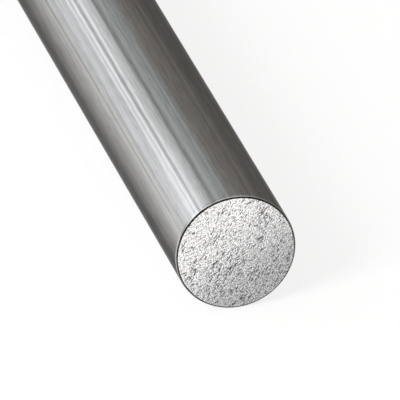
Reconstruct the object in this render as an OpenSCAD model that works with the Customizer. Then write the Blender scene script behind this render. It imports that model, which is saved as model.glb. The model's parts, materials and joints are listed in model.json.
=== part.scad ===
// Solid round steel bar, drawn to size and cropped to length, with the sharp
// corner of each end broken. It lies along X on the plane z = 0, with the
// origin under the middle of its length. All sizes are in millimetres.

/* [Bar] */
// Diameter of the bar
bar_d = 25; // [6:0.5:100]
// Length over both end faces
bar_length = 500; // [50:1:6000]

/* [Ends] */
// Width of the broken corner, inwards across the end face
break_width = 0.3; // [0.1:0.05:2]
// Depth of the broken corner, along the side of the bar
break_depth = 0.3; // [0.1:0.05:2]

/* [Hidden] */

// Sides of a full turn
$fn = 128;
// Bright drawn steel
steel_colour = [0.62, 0.61, 0.60];

bar_r = bar_d / 2;
end_r = bar_r - break_width;

// Half of the lengthwise section, from the axis (x = 0) out to the side
half_section = [
    [0, 0],
    [end_r, 0],
    [bar_r, break_depth],
    [bar_r, bar_length - break_depth],
    [end_r, bar_length],
    [0, bar_length]
];

// The bar standing on one end, turned about Z
module turned_bar() {
    rotate_extrude()
        polygon(half_section);
}

// The bar laid down along X, resting on its side
module round_bar() {
    color(steel_colour)
        translate([-bar_length / 2, 0, bar_r])
            rotate([0, 90, 0])
                turned_bar();
}

round_bar();
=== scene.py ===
"""A solid round steel bar with a bright drawn side, broken corners and cropped granular ends.

The bar lies along X on the plane z = 0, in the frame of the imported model, with the end that the
photograph shows towards +X. Lengths are in metres. Angles are in degrees, or in radians where
math.radians gives them.
"""

import json
import logging
import math
from dataclasses import asdict, dataclass
from enum import Enum
from typing import Any, ClassVar

import bpy
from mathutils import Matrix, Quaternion, Vector

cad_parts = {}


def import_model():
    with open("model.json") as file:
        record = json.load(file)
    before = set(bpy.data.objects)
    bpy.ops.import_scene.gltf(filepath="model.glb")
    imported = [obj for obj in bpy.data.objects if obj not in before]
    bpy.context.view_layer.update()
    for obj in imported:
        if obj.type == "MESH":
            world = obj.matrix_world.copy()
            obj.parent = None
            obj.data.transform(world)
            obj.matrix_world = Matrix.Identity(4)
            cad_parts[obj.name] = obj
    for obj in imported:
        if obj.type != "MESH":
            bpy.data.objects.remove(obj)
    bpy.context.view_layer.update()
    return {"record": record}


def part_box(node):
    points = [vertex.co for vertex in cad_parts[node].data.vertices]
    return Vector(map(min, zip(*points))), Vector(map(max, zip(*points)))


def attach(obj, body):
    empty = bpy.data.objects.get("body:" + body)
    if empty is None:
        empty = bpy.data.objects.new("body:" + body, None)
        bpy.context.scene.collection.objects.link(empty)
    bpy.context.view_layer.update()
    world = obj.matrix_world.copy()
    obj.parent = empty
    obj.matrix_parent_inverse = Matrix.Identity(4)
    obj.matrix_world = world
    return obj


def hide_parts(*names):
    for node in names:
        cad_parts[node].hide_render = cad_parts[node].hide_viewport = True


NODE = "round_bar"
BODY = "root"
MM = 0.001
# A broken corner is worn round, with this many times the break's depth as its radius
WORN_ROUND = 2.0
# How far the marks that cropping tears across an end lean from the level
TORN_SLANT = math.radians(43)
# A noise pattern runs from 0 to 1 about this level
NOISE_MIDDLE = 0.5
# Where the mesh keeps how deep each point of an end lies in a pit or a tick, for the painted shade that
# the end's finish gives it
HOLLOW_SHADE = "hollow"

Colour = tuple[float, float, float]
Socket = bpy.types.NodeSocket
# What a node takes as a number or as a colour: a socket to link, or a plain value
Number = Socket | float
Paint = Socket | Colour
# A ring around the bar: its place along X and its radius
Ring = tuple[Socket, Socket]

log = logging.getLogger(NODE)


class End(Enum):
    """The two ends of the bar: each has its own seed, so that no two faces are alike."""

    NEAR = 6
    FAR = 8

    @property
    def label(self) -> str:
        """The name of this end's seed among the inputs of the bar's tree."""
        return f"{self.name.title()} Seed"


class MarkShape(Enum):
    """What the marks on an end are drawn from, under Blender's names for them."""

    POINT = "POINTS"
    STROKE = "EDGES"


def labelled(sizes: Any) -> dict[str, float]:
    """Names a dataclass's sizes as the inputs of a geometry tree are named.

    Args:
        sizes: A dataclass of numbers.

    Returns:
        Each number under its field's name in capitalised words.
    """
    return {name.replace("_", " ").title(): value for name, value in asdict(sizes).items()}


class NodeSheet:
    """A node tree under construction, with short calls for its nodes and links."""

    def __init__(self, tree: bpy.types.NodeTree) -> None:
        """Works on the given tree."""
        self.tree = tree

    def add(self, kind: str, feeds: dict[str | int, Any] | None = None, **settings: Any) -> bpy.types.Node:
        """Adds one node.

        Args:
            kind: Blender's name for the kind of node.
            feeds: What goes into its inputs, by name or number: a socket to link, or a plain value.
            **settings: Properties of the node, which are set before its inputs.

        Returns:
            The new node.
        """
        node = self.tree.nodes.new(kind)
        for name, value in settings.items():
            setattr(node, name, value)
        for key, value in (feeds or {}).items():
            self.feed(node, key, value)
        return node

    def feed(self, node: bpy.types.Node, key: str | int, value: Any) -> None:
        """Links a socket to a node's input, or sets that input to a plain value.

        Args:
            node: The node that takes the value.
            key: The input's number, or its name among the inputs in use.
            value: A socket or a plain value.
        """
        if isinstance(key, int):
            taker = node.inputs[key]
        else:
            taker = next(socket for socket in node.inputs if socket.enabled and socket.name == key)
        if isinstance(value, Socket):
            self.tree.links.new(value, taker)
        else:
            taker.default_value = value

    def out(self, kind: str, feeds: dict[str | int, Any] | None = None, **settings: Any) -> Socket:
        """Adds one node, as add does, and returns its first output in use."""
        node = self.add(kind, feeds, **settings)
        return next(socket for socket in node.outputs if socket.enabled)

    def math(self, operation: str, *values: Number) -> Socket:
        """Returns the result of one sum on numbers."""
        return self.out("ShaderNodeMath", dict(enumerate(values)), operation=operation)

    def vector(self, operation: str, *values: Any) -> Socket:
        """Returns the result of one sum on vectors."""
        return self.out("ShaderNodeVectorMath", dict(enumerate(values)), operation=operation)

    def split(self, place: Socket) -> list[Socket]:
        """Returns the three parts of a vector."""
        return list(self.add("ShaderNodeSeparateXYZ", {"Vector": place}).outputs)

    def join(self, x: Number, y: Number, z: Number) -> Socket:
        """Returns a vector of three parts."""
        return self.out("ShaderNodeCombineXYZ", {"X": x, "Y": y, "Z": z})

    def ease(
        self, value: Socket, start: Number, end: Number, low: float = 0.0, high: float = 1.0
    ) -> Socket:
        """Returns a level that eases from `low` to `high` while the value goes from `start` to `end`."""
        feeds = {"Value": value, "From Min": start, "From Max": end, "To Min": low, "To Max": high}
        return self.out("ShaderNodeMapRange", feeds, interpolation_type="SMOOTHSTEP")

    def noise(
        self, where: Socket, scale: Number = 1.0, detail: float = 2.0, roughness: float = 0.5
    ) -> Socket:
        """Returns a cloudy pattern from 0 to 1, about `scale` blotches to the unit."""
        feeds = {"Vector": where, "Scale": scale, "Detail": detail, "Roughness": roughness}
        return self.out("ShaderNodeTexNoise", feeds)


class GeometryRecipe(NodeSheet):
    """A geometry tree that takes its sizes through named inputs and gives out one mesh."""

    def __init__(self, name: str, sizes: dict[str, float]) -> None:
        """Makes a tree with one input for each size.

        Args:
            name: The tree's name.
            sizes: The inputs' names, each with a number of the kind that it takes.
        """
        super().__init__(bpy.data.node_groups.new(name, "GeometryNodeTree"))
        for label, value in sizes.items():
            kind = "NodeSocketInt" if isinstance(value, int) else "NodeSocketFloat"
            self.tree.interface.new_socket(label, in_out="INPUT", socket_type=kind)
        self.tree.interface.new_socket("Geometry", in_out="OUTPUT", socket_type="NodeSocketGeometry")
        self.sizes = self.add("NodeGroupInput").outputs

    def give(self, geometry: Socket) -> None:
        """Ends the tree with the geometry that it gives out."""
        self.add("NodeGroupOutput", {"Geometry": geometry})

    def pick(self, test: Socket, if_true: Socket, if_false: Socket) -> Socket:
        """Returns one of two numbers."""
        feeds = {0: test, "True": if_true, "False": if_false}
        return self.out("GeometryNodeSwitch", feeds, input_type="FLOAT")

    def build(self, name: str, sizes: dict[str, float]) -> bpy.types.Object:
        """Makes a plain mesh object from the tree.

        Args:
            name: The object's name.
            sizes: A number for each input.

        Returns:
            The object, at the origin, with the tree's result as its mesh and no modifier.
        """
        piece = bpy.data.objects.new(name, bpy.data.meshes.new(f"{name}_blank"))
        bpy.context.scene.collection.objects.link(piece)
        modifier = piece.modifiers.new(self.tree.name, "NODES")
        modifier.node_group = self.tree
        for item in self.tree.interface.items_tree:
            if item.in_out == "INPUT":
                modifier[item.identifier] = sizes[item.name]
        evaluated = piece.evaluated_get(bpy.context.evaluated_depsgraph_get())
        mesh = bpy.data.meshes.new_from_object(evaluated)
        piece.modifiers.clear()
        piece.data = mesh
        mesh.name = name
        # A blank mesh starts with one empty material slot
        if mesh.materials[0] is None:
            mesh.materials.pop(index=0)
        return piece


def opaque(colour: Colour) -> tuple[float, float, float, float]:
    """Gives a colour the full alpha that Blender's colour sockets ask for.

    Args:
        colour: Red, green and blue.

    Returns:
        The colour with its alpha.
    """
    return (*colour, 1.0)


def new_finish(name: str) -> tuple[NodeSheet, bpy.types.Node]:
    """Makes a material with one shader.

    Args:
        name: The material's name.

    Returns:
        The sheet of its nodes, and its shader.
    """
    material = bpy.data.materials.new(name)
    material.use_nodes = True
    sheet = NodeSheet(material.node_tree)
    return sheet, material.node_tree.nodes["Principled BSDF"]


def paint_ramp(ramp: bpy.types.ColorRamp, stops: dict[float, Colour]) -> None:
    """Gives a colour ramp its stops.

    Args:
        ramp: The ramp, with the two stops that a new one has.
        stops: A colour for each place on the ramp, in rising order.
    """
    places = list(stops)
    ramp.elements[0].position = places[0]
    ramp.elements[1].position = places[-1]
    for place in places[1:-1]:
        ramp.elements.new(place)
    for element, place in zip(ramp.elements, places):
        element.color = opaque(stops[place])


@dataclass(frozen=True)
class DieLineOrPaintedBand:
    """A tone along the whole bar: narrow ones are lines that flaws of the die leave, broad ones are bands
    of painted highlight and painted shade.
    """

    # Where it lies around the bar, from the -Y side up over the top, and its reach to each side
    angle: float
    half_width: float
    # How much paler it is than the steel around it, or duller where below 0
    tone: float


@dataclass(frozen=True)
class Streaks:
    """Streaks along the bar, all of about one length and width."""

    length: float
    width: float
    # How much paler the palest of them are than the dullest
    tone: float


@dataclass(frozen=True)
class DrawnSteel:
    """The side's finish: bright steel pulled through a die, with streaks along the bar, and painted
    highlight and painted shade in bands around it and towards its ends.
    """

    name: str = "drawn_side"
    dull: Colour = (0.35, 0.348, 0.345)
    plain: Colour = (0.60, 0.602, 0.60)
    bright: Colour = (0.82, 0.826, 0.832)
    # The tones at which the steel has those three colours
    dull_tone: float = 0.2
    plain_tone: float = 0.5
    bright_tone: float = 0.8
    edge_tint: Colour = (0.10, 0.096, 0.091)
    bands: Streaks = Streaks(110 * MM, 2.6 * MM, 0.3)
    streaks: Streaks = Streaks(70 * MM, 0.5 * MM, 0.35)
    scratches: Streaks = Streaks(6 * MM, 0.22 * MM, 0.5)
    # How far streaks of each kind break up into finer ones, and how strong those are
    streak_detail: float = 3.0
    streak_break_up: float = 0.55
    streak_depth: float = 0.004 * MM
    smoothest: float = 0.16
    roughest: float = 0.27
    # The levels of the streaks at which the steel is roughest and smoothest
    rough_level: float = 0.3
    smooth_level: float = 0.7
    anisotropy: float = 0.3
    # How much paler the side is painted at its ends, a painted highlight that widens the bright band
    # there, over what length, and about what angle
    painted_end_highlight_tone: float = 0.2
    painted_end_highlight_length: float = 60 * MM
    painted_end_highlight_angle: float = 45.0
    painted_end_highlight_spread: float = 42.0
    # The die's flaws and the painted bands come again each time that it has been turned by this angle
    die_turn: float = 180.0
    die_lines_and_painted_bands: tuple[DieLineOrPaintedBand, ...] = (
        # The first two, broad bands, are painted light: painted shade about 8° and a painted highlight
        # about 28°; the narrow ones after them are die lines
        DieLineOrPaintedBand(8.0, 11.0, -0.06),
        DieLineOrPaintedBand(28.0, 13.0, 0.15),
        DieLineOrPaintedBand(24.6, 1.3, 0.12),
        DieLineOrPaintedBand(27.1, 1.4, -0.13),
        DieLineOrPaintedBand(29.7, 1.6, 0.10),
        DieLineOrPaintedBand(33.0, 2.2, -0.08),
        DieLineOrPaintedBand(37.6, 4.0, 0.08),
        DieLineOrPaintedBand(46.6, 1.2, 0.22),
        DieLineOrPaintedBand(50.6, 1.5, 0.24),
        DieLineOrPaintedBand(53.6, 1.8, -0.26),
        DieLineOrPaintedBand(56.8, 2.2, 0.16),
        DieLineOrPaintedBand(68.7, 3.4, -0.27),
        DieLineOrPaintedBand(73.5, 2.6, 0.10),
        DieLineOrPaintedBand(83.0, 2.5, 0.03),
        DieLineOrPaintedBand(104.0, 1.3, -0.11),
        DieLineOrPaintedBand(107.8, 1.5, 0.16),
    )

    def material(self, radius: float, half: float) -> bpy.types.Material:
        """Makes the finish as a material that reads Object coordinates.

        Args:
            radius: The bar's radius, which is also the height of its axis.
            half: Half the bar's length.

        Returns:
            The material.
        """
        sheet, shader = new_finish(self.name)
        place = sheet.add("ShaderNodeTexCoord").outputs["Object"]
        angle = self._angle(sheet, place, radius)
        along = sheet.math("ABSOLUTE", sheet.split(place)[0])
        # A painted highlight: the side is paler towards both ends about one angle
        painted_end_highlight = sheet.ease(along, half - self.painted_end_highlight_length, half, 0.0, self.painted_end_highlight_tone)
        away = sheet.math("ABSOLUTE", sheet.math("SUBTRACT", angle, self.painted_end_highlight_angle))
        facing = sheet.ease(away, 0.0, self.painted_end_highlight_spread, 1.0, 0.0)
        tone = sheet.math("MULTIPLY_ADD", painted_end_highlight, facing, self._die_and_painted_band_tone(sheet, angle))
        kinds = (self.bands, self.streaks, self.scratches)
        patterns = {kind: self._lengthwise(sheet, place, kind) for kind in kinds}
        for kind, pattern in patterns.items():
            paler = sheet.math("SUBTRACT", pattern, NOISE_MIDDLE)
            tone = sheet.math("MULTIPLY_ADD", paler, kind.tone, tone)
        colours = sheet.add("ShaderNodeValToRGB", {"Fac": tone})
        stops = {self.dull_tone: self.dull, self.plain_tone: self.plain, self.bright_tone: self.bright}
        paint_ramp(colours.color_ramp, stops)
        sheet.feed(shader, "Base Color", colours.outputs["Color"])
        streak = patterns[self.streaks]
        rough = sheet.ease(streak, self.rough_level, self.smooth_level, self.roughest, self.smoothest)
        sheet.feed(shader, "Roughness", rough)
        bump = {"Height": streak, "Distance": self.streak_depth}
        sheet.feed(shader, "Normal", sheet.out("ShaderNodeBump", bump))
        shader.inputs["Metallic"].default_value = 1.0
        shader.inputs["Anisotropic"].default_value = self.anisotropy
        shader.inputs["Specular Tint"].default_value = opaque(self.edge_tint)
        around = sheet.out("ShaderNodeTangent", direction_type="RADIAL", axis="X")
        sheet.feed(shader, "Tangent", around)
        return bpy.data.materials[self.name]

    def _lengthwise(self, sheet: NodeSheet, place: Socket, kind: Streaks) -> Socket:
        """Draws one kind of streaks out along X.

        Args:
            sheet: The finish's nodes.
            place: Object coordinates.
            kind: The streaks.

        Returns:
            Their pattern, from 0 to 1.
        """
        stretch = (1.0 / kind.length, 1.0 / kind.width, 1.0 / kind.width)
        drawn_out = sheet.out("ShaderNodeMapping", {"Vector": place, "Scale": stretch})
        return sheet.noise(drawn_out, detail=self.streak_detail, roughness=self.streak_break_up)

    def _angle(self, sheet: NodeSheet, place: Socket, radius: float) -> Socket:
        """Finds the angle about the bar's axis, from the -Y side over the top.

        Args:
            sheet: The finish's nodes.
            place: Object coordinates.
            radius: The height of the bar's axis.

        Returns:
            The angle in degrees, from 0 to the die's turn, after which it begins again.
        """
        _, y, z = sheet.split(place)
        height = sheet.math("SUBTRACT", z, radius)
        turned = sheet.math("DEGREES", sheet.math("ARCTAN2", height, sheet.math("MULTIPLY", y, -1.0)))
        return sheet.math("FLOORED_MODULO", turned, self.die_turn)

    def _die_and_painted_band_tone(self, sheet: NodeSheet, angle: Socket) -> Number:
        """Adds up the die lines and the painted bands of highlight and shade.

        Args:
            sheet: The finish's nodes.
            angle: The angle about the bar's axis.

        Returns:
            The tone that they leave, which is the plain one between them.
        """
        tone: Number = self.plain_tone
        for line in self.die_lines_and_painted_bands:
            away = sheet.math("ABSOLUTE", sheet.math("SUBTRACT", angle, line.angle))
            tone = sheet.math("ADD", tone, sheet.ease(away, 0.0, line.half_width, line.tone, 0.0))
        return tone


@dataclass(frozen=True)
class CroppedGrain:
    """The ends' finish: pale torn metal, duller towards one side as painted shade, with dark hollows and
    fine tears painted as shade.
    """

    name: str = "cropped_end"
    pale: Colour = (0.945, 0.95, 0.96)
    dull: Colour = (0.44, 0.444, 0.45)
    # The painted shade in pits, ticks and tears
    hollow: Colour = (0.10, 0.10, 0.10)
    # Direction across the face, in Y and Z, in which it gets paler: painted light towards the key lamp's
    # side, painted shade away from it
    painted_light_y: float = -0.62
    painted_light_z: float = 0.78
    speck_size: float = 0.27 * MM
    speck_depth: float = 0.08 * MM
    # How strong the finer specks within a speck are
    speck_break_up: float = 0.6
    # How much of the tone the darkest and the palest specks keep: grain of random tone, and painted glints
    # and painted shade
    dark_speck: float = 0.37
    pale_speck: float = 1.35
    # Between which levels of the pattern a speck goes from dark and rough to pale and smooth
    speck_low: float = 0.3
    speck_high: float = 0.7
    # No speck is paler than this
    palest: float = 0.98
    smoothest: float = 0.55
    roughest: float = 0.75
    metallic: float = 0.15
    tear_length: float = 1.0 * MM
    tear_width: float = 0.2 * MM
    # How far the tears break up into finer ones
    tear_detail: float = 1.0
    # Between which levels of their pattern the tears begin and are darkest
    tear_low: float = 0.61
    tear_high: float = 0.65
    # How many times the specks' depth the tears are
    tear_depth: float = 3.0
    # The size of the clusters that the tears lie in, and how dark a tear between them is
    cluster_size: float = 2.5 * MM
    stray_tear: float = 0.3
    # Between which levels of the pattern a cluster goes from its edge to its middle
    cluster_low: float = 0.4
    cluster_high: float = 0.6

    def material(self, radius: float) -> bpy.types.Material:
        """Makes the finish as a material that reads Object coordinates and the mesh's hollows.

        Args:
            radius: The bar's radius, which is also the height of its axis.

        Returns:
            The material.
        """
        sheet, shader = new_finish(self.name)
        place = sheet.add("ShaderNodeTexCoord").outputs["Object"]
        centred = sheet.vector("SUBTRACT", place, (0.0, 0.0, radius))
        measured = {0: centred, 1: (0.0, self.painted_light_y, self.painted_light_z)}
        along = sheet.add("ShaderNodeVectorMath", measured, operation="DOT_PRODUCT").outputs["Value"]
        specks = sheet.noise(place, 1.0 / self.speck_size, roughness=self.speck_break_up)
        # Painted light and shade: the face's colour goes from dull to pale towards the key lamp's side
        tone = self._blend(sheet, sheet.ease(along, -radius, radius), self.dull, self.pale)
        hollow = sheet.add("ShaderNodeAttribute", attribute_name=HOLLOW_SHADE).outputs["Fac"]
        tears = self._tears(sheet, place)
        # Painted shade: pits, ticks and tears are coloured dark as if in shadow
        colour = self._blend(sheet, sheet.math("MAXIMUM", hollow, tears), tone, self.hollow)
        kept = sheet.ease(specks, self.speck_low, self.speck_high, self.dark_speck, self.pale_speck)
        specked = sheet.vector("MULTIPLY", colour, sheet.join(kept, kept, kept))
        held = sheet.vector("MINIMUM", specked, (self.palest, self.palest, self.palest))
        sheet.feed(shader, "Base Color", held)
        rough = sheet.ease(specks, self.speck_low, self.speck_high, self.roughest, self.smoothest)
        sheet.feed(shader, "Roughness", rough)
        height = sheet.math("MULTIPLY_ADD", tears, -self.tear_depth, specks)
        bump = {"Height": height, "Distance": self.speck_depth}
        sheet.feed(shader, "Normal", sheet.out("ShaderNodeBump", bump))
        shader.inputs["Metallic"].default_value = self.metallic
        return bpy.data.materials[self.name]

    def _tears(self, sheet: NodeSheet, place: Socket) -> Socket:
        """Draws the fine tears, which are short slanted strokes in clusters.

        Args:
            sheet: The finish's nodes.
            place: Object coordinates.

        Returns:
            Their painted shade, which also sets their depth for the bump, from 0 to 1.
        """
        size = (self.tear_width, self.tear_length, self.tear_width)
        feeds = {"Vector": place, "Rotation": (TORN_SLANT, 0.0, 0.0), "Scale": size}
        slanted = sheet.out("ShaderNodeMapping", feeds, vector_type="TEXTURE")
        strokes = sheet.ease(sheet.noise(slanted, detail=self.tear_detail), self.tear_low, self.tear_high)
        patches = sheet.noise(place, 1.0 / self.cluster_size)
        clusters = sheet.ease(patches, self.cluster_low, self.cluster_high, self.stray_tear, 1.0)
        return sheet.math("MULTIPLY", strokes, clusters)

    def _blend(self, sheet: NodeSheet, share: Socket, first: Paint, second: Paint) -> Socket:
        """Mixes two colours.

        Args:
            sheet: The finish's nodes.
            share: How much of the second colour there is.
            first: The first colour.
            second: The second colour.

        Returns:
            The mixed colour.
        """
        sides = [side if isinstance(side, Socket) else opaque(side) for side in (first, second)]
        feeds = {"Factor": share, "A": sides[0], "B": sides[1]}
        return sheet.out("ShaderNodeMix", feeds, data_type="RGBA")


@dataclass(frozen=True)
class BrokenCorner:
    """The finish of the broken corners: steel painted dark as painted shade, worn paler in patches."""

    name: str = "broken_corner"
    dark: Colour = (0.05, 0.049, 0.048)
    worn: Colour = (0.12, 0.118, 0.116)
    # The levels of the patches at which the steel has its painted shade and is worn
    dark_level: float = 0.4
    worn_level: float = 0.7
    patch_size: float = 1.5 * MM
    # How far the patches break up into finer ones
    patch_detail: float = 3.0
    roughness: float = 0.25

    def material(self) -> bpy.types.Material:
        """Makes the finish as a material that reads Object coordinates.

        Returns:
            The material.
        """
        sheet, shader = new_finish(self.name)
        place = sheet.add("ShaderNodeTexCoord").outputs["Object"]
        patches = sheet.noise(place, 1.0 / self.patch_size, detail=self.patch_detail)
        colours = sheet.add("ShaderNodeValToRGB", {"Fac": patches})
        paint_ramp(colours.color_ramp, {self.dark_level: self.dark, self.worn_level: self.worn})
        sheet.feed(shader, "Base Color", colours.outputs["Color"])
        shader.inputs["Roughness"].default_value = self.roughness
        shader.inputs["Metallic"].default_value = 1.0
        return bpy.data.materials[self.name]


@dataclass(frozen=True)
class CroppedFace:
    """A cropped end's relief: grain, low swells, pits and slanted ticks.

    The sizes are inputs of its tree. The names in capitals are levels and shares of its patterns.
    """

    # How many cells the face's grid has each way
    cells: int = 200
    grain_size: float = 0.4 * MM
    grain_depth: float = 0.25 * MM
    swell_size: float = 1.6 * MM
    swell_depth: float = 0.06 * MM
    pit_count: int = 250
    pit_radius: float = 0.22 * MM
    pit_depth: float = 0.32 * MM
    # How much painted shade a pit gets beside a tick
    pit_shade: float = 0.4
    tick_count: int = 190
    tick_length: float = 0.95 * MM
    # How far a tick reaches to each side
    tick_reach: float = 0.13 * MM
    tick_depth: float = 0.7 * MM
    tick_slant: float = TORN_SLANT
    tick_spread: float = math.radians(26)
    cluster_size: float = 4.5 * MM
    # Over what distance the depth of the marks changes
    mark_change: float = 0.8 * MM
    # How much is left off the depth, so that the highest grains end in small flats
    flats: float = 0.15 * MM
    # Over what distance from the rim the relief begins
    rim_fade: float = 0.15 * MM

    # Between which levels of the pattern a lump goes from its top to its foot
    LUMP_LOW: ClassVar[float] = 0.28
    LUMP_HIGH: ClassVar[float] = 0.72
    # How far the grain and the swells break up into finer lumps, and how strong those are
    GRAIN_DETAIL: ClassVar[float] = 3.0
    SWELL_DETAIL: ClassVar[float] = 1.0
    LUMP_BREAK_UP: ClassVar[float] = 0.6
    # Between which levels of the pattern a mark goes from its weakest to its full depth
    MARK_LOW: ClassVar[float] = 0.35
    MARK_HIGH: ClassVar[float] = 0.65
    WEAKEST_MARK: ClassVar[float] = 0.35
    # Between which levels of the pattern ticks go from sparse to crowded, and how many there are then
    CLUSTER_LOW: ClassVar[float] = 0.42
    CLUSTER_HIGH: ClassVar[float] = 0.62
    CLUSTER_DETAIL: ClassVar[float] = 1.0
    SPARSE: ClassVar[float] = 0.1
    CROWDED: ClassVar[float] = 2.4
    # How long the shortest and the longest ticks are, beside the usual length
    SHORTEST_TICK: ClassVar[float] = 0.5
    LONGEST_TICK: ClassVar[float] = 1.5

    def recipe(self) -> GeometryRecipe:
        """Makes the tree of one face.

        Returns:
            The tree of a disc about X that faces +X, cut inwards by its relief.
        """
        sheet = GeometryRecipe("cropped_face", {**labelled(self), "Radius": 0.0, "Seed": 0})
        sizes = sheet.sizes
        disc = self._disc(sheet)
        place = sheet.out("GeometryNodeInputPosition")
        seed = sizes["Seed"]
        where = sheet.vector("ADD", place, sheet.join(seed, seed, seed))
        grain = self._lumps(sheet, where, "Grain Size", self.GRAIN_DETAIL)
        swell = self._lumps(sheet, where, "Swell Size", self.SWELL_DETAIL)
        pits = self._pits(sheet, disc)
        ticks = self._ticks(sheet, disc, where)
        rim = sheet.math("SUBTRACT", sizes["Radius"], sheet.vector("LENGTH", place))
        fade = sheet.ease(rim, 0.0, sizes["Rim Fade"])
        # Painted shade kept on the mesh: how far a point lies in a pit or a tick, which the end's finish
        # paints dark
        shaded = sheet.math("MULTIPLY", pits, sizes["Pit Shade"])
        hollow = sheet.math("MULTIPLY", sheet.math("MAXIMUM", shaded, ticks), fade)
        kept = {"Geometry": disc, "Name": HOLLOW_SHADE, "Value": hollow}
        marked = sheet.out("GeometryNodeStoreNamedAttribute", kept, data_type="FLOAT", domain="POINT")
        levels = {"Grain Depth": grain, "Swell Depth": swell, "Pit Depth": pits, "Tick Depth": ticks}
        depth: Number = 0.0
        for size, level in levels.items():
            depth = sheet.math("MULTIPLY_ADD", level, sizes[size], depth)
        depth = sheet.math("MAXIMUM", sheet.math("SUBTRACT", depth, sizes["Flats"]), 0.0)
        inwards = sheet.math("MULTIPLY", sheet.math("MULTIPLY", depth, fade), -1.0)
        cut = {"Geometry": marked, "Offset": sheet.join(inwards, 0.0, 0.0)}
        sheet.give(sheet.out("GeometryNodeSetPosition", cut))
        return sheet

    def _disc(self, sheet: GeometryRecipe) -> Socket:
        """Spreads a square grid, from -1 to 1 each way, into an even disc.

        Args:
            sheet: The face's tree.

        Returns:
            The flat disc, with the grid's sides along its rim.
        """
        across = sheet.math("ADD", sheet.sizes["Cells"], 1)
        feeds = {"Size X": 2.0, "Size Y": 2.0, "Vertices X": across, "Vertices Y": across}
        grid = sheet.out("GeometryNodeMeshGrid", feeds)
        right, up, _ = sheet.split(sheet.out("GeometryNodeInputPosition"))
        wide = sheet.math("GREATER_THAN", sheet.math("ABSOLUTE", right), sheet.math("ABSOLUTE", up))
        reach = sheet.pick(wide, right, up)
        share = sheet.math("DIVIDE", sheet.pick(wide, up, right), reach)
        lean = sheet.math("MULTIPLY", share, math.pi / 4)
        angle = sheet.pick(wide, lean, sheet.math("SUBTRACT", math.pi / 2, lean))
        radius = sheet.math("MULTIPLY", reach, sheet.sizes["Radius"])
        y = sheet.math("MULTIPLY", radius, sheet.math("COSINE", angle))
        z = sheet.math("MULTIPLY", radius, sheet.math("SINE", angle))
        return sheet.out("GeometryNodeSetPosition", {"Geometry": grid, "Position": sheet.join(0.0, y, z)})

    def _lumps(self, sheet: GeometryRecipe, where: Socket, size: str, detail: float) -> Socket:
        """Makes lumps.

        Args:
            sheet: The face's tree.
            where: The places on the face, moved apart by its seed.
            size: The name of the lumps' size among the tree's inputs.
            detail: How far they break up into finer ones.

        Returns:
            Their depth, from 0 to 1.
        """
        scale = sheet.math("DIVIDE", 1.0, sheet.sizes[size])
        pattern = sheet.noise(where, scale, detail, self.LUMP_BREAK_UP)
        return sheet.ease(pattern, self.LUMP_LOW, self.LUMP_HIGH)

    def _scatter(self, sheet: GeometryRecipe, disc: Socket, count: Socket, crowding: Number) -> Socket:
        """Strews points over the disc.

        Args:
            sheet: The face's tree.
            disc: The flat disc.
            count: How many points there are, about.
            crowding: How many times the average there are, as a field over the disc.

        Returns:
            The points.
        """
        area = sheet.math("MULTIPLY", sheet.math("POWER", sheet.sizes["Radius"], 2.0), math.pi)
        density = sheet.math("MULTIPLY", sheet.math("DIVIDE", count, area), crowding)
        feeds = {"Mesh": disc, "Density": density, "Seed": sheet.sizes["Seed"]}
        return sheet.out("GeometryNodeDistributePointsOnFaces", feeds)

    def _near(self, sheet: GeometryRecipe, marks: Socket, shape: MarkShape, reach: Socket) -> Socket:
        """Tells how near each point of the face is to a mark.

        Args:
            sheet: The face's tree.
            marks: The marks.
            shape: What they are drawn from.
            reach: The distance at which the widest mark ends.

        Returns:
            1 on the deepest mark, less on others, easing to 0 at their ends.
        """
        near = sheet.add("GeometryNodeProximity", {0: marks}, target_element=shape.value)
        change = sheet.math("DIVIDE", 1.0, sheet.sizes["Mark Change"])
        pattern = sheet.noise(near.outputs["Position"], change)
        strength = sheet.ease(pattern, self.MARK_LOW, self.MARK_HIGH, self.WEAKEST_MARK, 1.0)
        own_reach = sheet.math("MULTIPLY", strength, reach)
        level = sheet.ease(near.outputs["Distance"], 0.0, own_reach, 1.0, 0.0)
        return sheet.math("MULTIPLY", level, strength)

    def _pits(self, sheet: GeometryRecipe, disc: Socket) -> Socket:
        """Returns the round pits as a depth from 0 to 1."""
        points = self._scatter(sheet, disc, sheet.sizes["Pit Count"], 1.0)
        return self._near(sheet, points, MarkShape.POINT, sheet.sizes["Pit Radius"])

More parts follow.
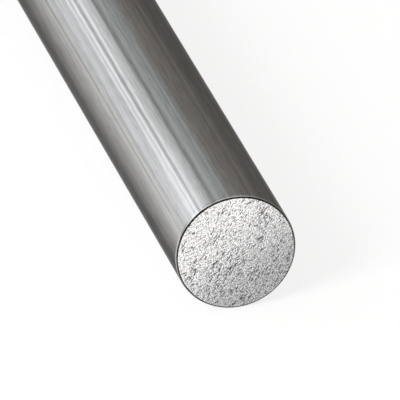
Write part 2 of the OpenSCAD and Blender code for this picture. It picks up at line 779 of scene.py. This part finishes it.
    def _ticks(self, sheet: GeometryRecipe, disc: Socket, where: Socket) -> Socket:
        """Makes the slanted ticks, which lie in clusters.

        Args:
            sheet: The face's tree.
            disc: The flat disc.
            where: The places on the face, moved apart by its seed.

        Returns:
            Their depth, from 0 to 1.
        """
        sizes = sheet.sizes
        scale = sheet.math("DIVIDE", 1.0, sizes["Cluster Size"])
        clusters = sheet.noise(where, scale, self.CLUSTER_DETAIL)
        crowding = sheet.ease(clusters, self.CLUSTER_LOW, self.CLUSTER_HIGH, self.SPARSE, self.CROWDED)
        points = self._scatter(sheet, disc, sizes["Tick Count"], crowding)
        centred = {"Count": 2, "Start Location": (0.0, -0.5, 0.0), "Offset": (0.0, 1.0, 0.0)}
        line = sheet.out("GeometryNodeMeshLine", centred)
        slants = {
            "Min": sheet.math("SUBTRACT", sizes["Tick Slant"], sizes["Tick Spread"]),
            "Max": sheet.math("ADD", sizes["Tick Slant"], sizes["Tick Spread"]),
            "Seed": sizes["Seed"],
        }
        slant = sheet.out("FunctionNodeRandomValue", slants, data_type="FLOAT")
        lengths = {
            "Min": sheet.math("MULTIPLY", sizes["Tick Length"], self.SHORTEST_TICK),
            "Max": sheet.math("MULTIPLY", sizes["Tick Length"], self.LONGEST_TICK),
            "Seed": sheet.math("ADD", sizes["Seed"], 1),
        }
        length = sheet.out("FunctionNodeRandomValue", lengths, data_type="FLOAT")
        turn = sheet.out("FunctionNodeEulerToRotation", {"Euler": sheet.join(slant, 0.0, 0.0)})
        placed = {"Points": points, "Instance": line, "Rotation": turn, "Scale": length}
        strokes = sheet.out("GeometryNodeInstanceOnPoints", placed)
        edges = sheet.out("GeometryNodeRealizeInstances", {"Geometry": strokes})
        return self._near(sheet, edges, MarkShape.STROKE, sizes["Tick Reach"])


@dataclass(frozen=True)
class TurnedSection:
    """The bar's lengthwise section, from the rim of one end to the rim of the other."""

    radius: float
    length: float
    corner_round: float
    die_line_depth: float = 0.004 * MM
    die_line_pitch: float = 0.9 * MM


@dataclass
class RoundBar:
    """The bar: two cropped faces and the turned side between them, welded into one mesh."""

    section: TurnedSection
    face: CroppedFace
    side_finish: DrawnSteel
    end_finish: CroppedGrain
    corner_finish: BrokenCorner
    # Where rings lie in the rounding of each corner, in degrees from the face to the side
    round_turns: tuple[float, ...] = (8.0, 16.0, 29.0, 42.0, 56.0, 73.0, 90.0)
    # Between which of those rings the corner has its own finish, which is painted shade
    dark_from: int = 1
    dark_to: int = 4
    # How far along the side the first straight ring lies from the rounding
    first_ring: float = 0.5 * MM
    # Points closer than this become one, where the side meets the far face
    weld: float = 0.001 * MM

    # An edge of a rim has one face and any other edge two, so this parts them
    RIM_FACES: ClassVar[float] = 1.5

    def build(self) -> bpy.types.Object:
        """Makes the bar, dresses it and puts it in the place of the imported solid.

        Returns:
            The finished piece.
        """
        seeds = {end.label: end.value for end in End}
        sizes = {**labelled(self.section), **labelled(self.face), **seeds}
        piece = self._recipe(sizes).build("drawn_round_bar", sizes)
        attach(piece, BODY)
        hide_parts(NODE)
        return piece

    def _recipe(self, inputs: dict[str, float]) -> GeometryRecipe:
        """Makes the bar's tree.

        Args:
            inputs: The tree's inputs, with a number of the kind that each takes.

        Returns:
            The tree, ready to build.
        """
        sheet = GeometryRecipe("turned_bar", inputs)
        half = sheet.math("MULTIPLY", sheet.sizes["Length"], 0.5)
        rim = sheet.math("SUBTRACT", sheet.sizes["Radius"], sheet.sizes["Corner Round"])
        face_tree = self.face.recipe().tree
        near_face, far_face = (self._face(sheet, face_tree, end, half, rim) for end in End)
        rings = self._rings(sheet, half, rim)
        turned = self._drawn_back(sheet, near_face, rings)
        joined = sheet.add("GeometryNodeJoinGeometry")
        sheet.feed(joined, 0, far_face)
        sheet.feed(joined, 0, turned)
        welded = {"Geometry": joined.outputs[0], "Distance": self.weld}
        solid = sheet.out("GeometryNodeMergeByDistance", welded)
        smooth = sheet.out("GeometryNodeSetShadeSmooth", {"Geometry": solid})
        lift = sheet.join(0.0, 0.0, sheet.sizes["Radius"])
        lifted = sheet.out("GeometryNodeSetPosition", {"Geometry": smooth, "Offset": lift})
        real = sheet.out("GeometryNodeRealizeInstances", {"Geometry": lifted})
        sheet.give(self._dress(sheet, real, rings[self.dark_from][1], rings[self.dark_to][0]))
        return sheet

    def _face(
        self, sheet: GeometryRecipe, tree: bpy.types.NodeTree, end: End, half: Socket, rim: Socket
    ) -> Socket:
        """Puts one cropped face at its end of the bar.

        Args:
            sheet: The bar's tree.
            tree: The tree of a face.
            end: Which end it is.
            half: Half the bar's length.
            rim: The face's radius.

        Returns:
            The face, turned outwards.
        """
        feeds = {label: sheet.sizes[label] for label in labelled(self.face)}
        feeds |= {"Radius": rim, "Seed": sheet.sizes[end.label]}
        face = sheet.out("GeometryNodeGroup", feeds, node_tree=tree)
        outwards = sheet.join(half, 0.0, 0.0)
        moved = sheet.out("GeometryNodeTransform", {"Geometry": face, "Translation": outwards})
        if end is End.NEAR:
            return moved
        return sheet.out("GeometryNodeTransform", {"Geometry": moved, "Rotation": (0.0, 0.0, math.pi)})

    def _rings(self, sheet: GeometryRecipe, half: Socket, rim: Socket) -> list[Ring]:
        """Works out the section's rings.

        Args:
            sheet: The bar's tree.
            half: Half the bar's length.
            rim: The radius at the ends.

        Returns:
            The rings, from the first past the near rim to the far rim.
        """
        sizes = sheet.sizes
        corner = sizes["Corner Round"]
        shoulder = sheet.math("SUBTRACT", half, corner)
        near = []
        for turn in self.round_turns:
            along = sheet.math("MULTIPLY_ADD", corner, math.cos(math.radians(turn)), shoulder)
            near.append((along, sheet.math("MULTIPLY_ADD", corner, math.sin(math.radians(turn)), rim)))
        near.append((sheet.math("SUBTRACT", shoulder, self.first_ring), sizes["Radius"]))
        far = [(sheet.math("MULTIPLY", along, -1.0), radius) for along, radius in reversed(near)]
        return [*near, *far, (sheet.math("MULTIPLY", half, -1.0), rim)]

    def _drawn_back(self, sheet: GeometryRecipe, face: Socket, rings: list[Ring]) -> Socket:
        """Draws the near face's rim back along the bar, one ring at a time.

        Args:
            sheet: The bar's tree.
            face: The near face.
            rings: The rings to draw it through.

        Returns:
            The near face with the side joined to it.
        """
        sizes = sheet.sizes
        place = sheet.out("GeometryNodeInputPosition")
        outwards = sheet.vector("NORMALIZE", sheet.vector("MULTIPLY", place, (0.0, 1.0, 1.0)))
        pitch = sheet.math("DIVIDE", sizes["Radius"], sizes["Die Line Pitch"])
        groove = sheet.math("MULTIPLY", sheet.noise(outwards, pitch), sizes["Die Line Depth"])
        neighbours = sheet.out("GeometryNodeInputMeshEdgeNeighbors")
        edge = sheet.math("LESS_THAN", neighbours, self.RIM_FACES)
        mesh = face
        for along, radius in rings:
            drawn = {"Mesh": mesh, "Selection": edge, "Offset Scale": 0.0}
            step = sheet.add("GeometryNodeExtrudeMesh", drawn, mode="EDGES")
            edge = step.outputs["Top"]
            # The last ring lies on the far face's rim, which has no grooves
            if (along, radius) != rings[-1]:
                radius = sheet.math("SUBTRACT", radius, groove)
            spread = sheet.vector("MULTIPLY", outwards, sheet.join(radius, radius, radius))
            ring = {
                "Geometry": step.outputs["Mesh"],
                "Selection": edge,
                "Position": sheet.vector("ADD", spread, sheet.join(along, 0.0, 0.0)),
            }
            mesh = sheet.out("GeometryNodeSetPosition", ring)
        return mesh

    def _dress(self, sheet: GeometryRecipe, mesh: Socket, face_end: Socket, side_end: Socket) -> Socket:
        """Gives the side, the ends and the broken corners their finishes.

        Args:
            sheet: The bar's tree.
            mesh: The whole bar, resting on the plane z = 0.
            face_end: The radius to which the ends' finish reaches.
            side_end: How far along X the side's finish reaches.

        Returns:
            The dressed mesh.
        """
        along, y, z = sheet.split(sheet.out("GeometryNodeInputPosition"))
        height = sheet.math("SUBTRACT", z, sheet.sizes["Radius"])
        radius = sheet.vector("LENGTH", sheet.join(0.0, y, height))
        on_face = sheet.math("LESS_THAN", radius, face_end)
        past_side = sheet.math("GREATER_THAN", sheet.math("ABSOLUTE", along), side_end)
        on_corner = sheet.math("MULTIPLY", past_side, sheet.math("SUBTRACT", 1.0, on_face))
        finishes = (
            (True, self.side_finish.material(self.section.radius, self.section.length / 2)),
            (on_corner, self.corner_finish.material()),
            (on_face, self.end_finish.material(self.section.radius)),
        )
        for where, material in finishes:
            feeds = {"Geometry": mesh, "Selection": where, "Material": material}
            mesh = sheet.out("GeometryNodeSetMaterial", feeds)
        return mesh


@dataclass(frozen=True)
class PaleFloor:
    """The floor's finish: pale and matt, and partly plain white to the camera and to reflections."""

    name: str = "pale_floor"
    colour: Colour = (0.97, 0.97, 0.97)
    # How much of its look is plain white, so that the shadow on it stays light
    seen_white: float = 0.8
    mirrored_white: float = 0.1

    def material(self) -> bpy.types.Material:
        """Makes the finish.

        Returns:
            The material.
        """
        sheet, shader = new_finish(self.name)
        shader.inputs["Base Color"].default_value = opaque(self.colour)
        shader.inputs["Roughness"].default_value = 1.0
        shader.inputs["Specular IOR Level"].default_value = 0.0
        rays = sheet.add("ShaderNodeLightPath").outputs
        mirrored = sheet.math("MAXIMUM", rays["Is Glossy Ray"], rays["Is Transmission Ray"])
        share = sheet.math(
            "MAXIMUM",
            sheet.math("MULTIPLY", rays["Is Camera Ray"], self.seen_white),
            sheet.math("MULTIPLY", mirrored, self.mirrored_white),
        )
        white = sheet.out("ShaderNodeEmission", {"Strength": 1.0})
        mixed = sheet.out("ShaderNodeMixShader", {0: share, 1: shader.outputs["BSDF"], 2: white})
        sheet.feed(sheet.tree.nodes["Material Output"], "Surface", mixed)
        material = bpy.data.materials[self.name]
        material.cycles.emission_sampling = "NONE"
        return material


class LampShape(Enum):
    """The outlines that a soft lamp comes in, under Blender's names for them."""

    SQUARE = "RECTANGLE"
    ROUND = "ELLIPSE"


@dataclass(frozen=True)
class Softbox:
    """A soft lamp that hangs out of the camera's sight."""

    name: str
    centre: Vector
    aim: Vector
    width: float
    height: float
    radiance: float
    colour: Colour = (1.0, 1.0, 1.0)
    shape: LampShape = LampShape.SQUARE
    # Whether the lamp itself shows in shiny surfaces
    mirrored: bool = True

    def hang(self) -> None:
        """Hangs the lamp, turned to its aim."""
        lamp = bpy.data.lights.new(self.name, "AREA")
        lamp.shape = self.shape.value
        lamp.size = self.width
        lamp.size_y = self.height
        lamp.color = self.colour
        lamp.energy = self.radiance * math.pi * self.width * self.height
        hung = bpy.data.objects.new(self.name, lamp)
        bpy.context.scene.collection.objects.link(hung)
        hung.location = self.centre
        hung.rotation_mode = "QUATERNION"
        hung.rotation_quaternion = (self.aim - self.centre).to_track_quat("-Z", "Y")
        hung.visible_camera = False
        hung.visible_glossy = self.mirrored


@dataclass(frozen=True)
class Studio:
    """The plain pale floor, the soft lamps and the grey room around them."""

    near_end: Vector
    floor_size: float = 40.0
    floor_finish: PaleFloor = PaleFloor()
    room_colour: Colour = (0.325, 0.304, 0.282)
    cool_light: Colour = (0.95, 1.0, 1.045)
    green_light: Colour = (0.74, 1.02, 1.1)

    def build(self) -> bpy.types.Object:
        """Makes the floor, the room and the lamps.

        Returns:
            The floor.
        """
        floor = self._floor()
        self._room()
        for softbox in self._softboxes():
            softbox.hang()
            log.info("lamp %s", softbox.name)
        return floor

    def _floor(self) -> bpy.types.Object:
        """Lays the floor, a level sheet at z = 0, with its pale finish.

        Returns:
            The floor.
        """
        half = self.floor_size / 2
        corners = [(-half, -half, 0.0), (half, -half, 0.0), (half, half, 0.0), (-half, half, 0.0)]
        mesh = bpy.data.meshes.new("floor")
        mesh.from_pydata(corners, [], [(0, 1, 2, 3)])
        floor = bpy.data.objects.new("floor", mesh)
        bpy.context.scene.collection.objects.link(floor)
        mesh.materials.append(self.floor_finish.material())
        return floor

    def _room(self) -> None:
        """Sets the grey light that comes from all round."""
        world = bpy.data.worlds.new("room")
        world.use_nodes = True
        background = world.node_tree.nodes["Background"]
        background.inputs["Color"].default_value = opaque(self.room_colour)
        bpy.context.scene.world = world

    def _softboxes(self) -> list[Softbox]:
        """Plans the lamps.

        Returns:
            Those overhead, to the left, beyond both ends, and up to the left of the near end.
        """
        end = self.near_end
        return [
            Softbox("overhead", Vector((0.0, 0.0, 3.0)), Vector(), width=4.0, height=4.0, radiance=0.48),
            Softbox(
                "far_left", Vector((-1.9, -0.75, 0.545)), end,
                width=1.1, height=1.07, radiance=0.92, colour=self.cool_light,
            ),
            Softbox(
                "left", Vector((-0.65, -1.35, 1.1)), end,
                width=1.8, height=1.2, radiance=1.0, colour=self.cool_light,
            ),
            Softbox(
                "far_top", Vector((-1.75, -0.05, 1.12)), end,
                width=0.8, height=0.5, radiance=0.19, colour=self.green_light,
            ),
            Softbox(
                "low_far", Vector((-3.0, 0.0, 0.52)), end,
                width=1.7, height=1.0, radiance=2.0, shape=LampShape.ROUND,
            ),
            Softbox(
                "low_near", Vector((3.2, 0.0, 0.52)), end,
                width=1.7, height=1.0, radiance=2.0, shape=LampShape.ROUND,
            ),
            Softbox(
                "key", Vector((1.3, -1.6, 1.15)), end,
                width=1.0, height=1.0, radiance=15.5, mirrored=False,
            ),
        ]


@dataclass(frozen=True)
class PhotoCamera:
    """The camera at the photograph's angle, aimed so that the near end lands on its own pixel."""

    near_end: Vector
    azimuth: float = 75.251
    elevation: float = 26.292
    distance: float = 2.3531
    # The lens and the sensor's width, in millimetres
    lens: float = 1051.92
    sensor: float = 36.0
    # How far the camera sees
    sight: float = 100.0
    frame_pixels: int = 400
    # Where the near end's centre lands, in pixels from the picture's top left
    end_pixel: tuple[float, float] = (236.08, 252.68)

    def place(self) -> bpy.types.Object:
        """Makes the camera and gives it to the scene.

        Returns:
            The camera.
        """
        data = bpy.data.cameras.new("photo_camera")
        data.lens = self.lens
        data.sensor_width = self.sensor
        data.clip_end = self.sight
        camera = bpy.data.objects.new("photo_camera", data)
        bpy.context.scene.collection.objects.link(camera)
        around = math.radians(self.azimuth)
        up = math.radians(self.elevation)
        level = math.cos(up)
        back = Vector((math.sin(around) * level, -math.cos(around) * level, math.sin(up)))
        camera.location = self.near_end + back * self.distance
        camera.rotation_mode = "QUATERNION"
        camera.rotation_quaternion = (-back).to_track_quat("-Z", "Y") @ self._offset()
        bpy.context.scene.camera = camera
        return camera

    def _offset(self) -> Quaternion:
        """Works out how far the camera looks past the near end.

        Returns:
            The small turn that moves the near end from the picture's middle to its pixel.
        """
        focal = self.lens / self.sensor * self.frame_pixels
        middle = self.frame_pixels / 2
        right = (self.end_pixel[0] - middle) / focal
        down = (self.end_pixel[1] - middle) / focal
        return Vector((right, -down, -1.0)).rotation_difference(Vector((0.0, 0.0, -1.0)))


def main() -> None:
    """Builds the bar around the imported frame, with its studio and its camera."""
    logging.basicConfig(level=logging.INFO, format="%(name)s: %(message)s")
    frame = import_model()
    low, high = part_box(NODE)
    side = next(mount for mount in frame["record"]["mounts"] if mount["name"] == "side")
    length = high.x - low.x
    break_depth = (length - side["dims"]["length_mm"] * MM) / 2
    section = TurnedSection((high.z - low.z) / 2, length, WORN_ROUND * break_depth)
    bar = RoundBar(section, CroppedFace(), DrawnSteel(), CroppedGrain(), BrokenCorner())
    piece = bar.build()
    log.info("piece %s, %d faces", piece.name, len(piece.data.polygons))
    near_end = Vector((high.x, 0.0, section.radius))
    floor = Studio(near_end).build()
    log.info("stage %s", floor.name)
    camera = PhotoCamera(near_end).place()
    log.info("camera %s", camera.name)
    bpy.context.scene.view_settings.view_transform = "Standard"


if __name__ == "__main__":
    main()
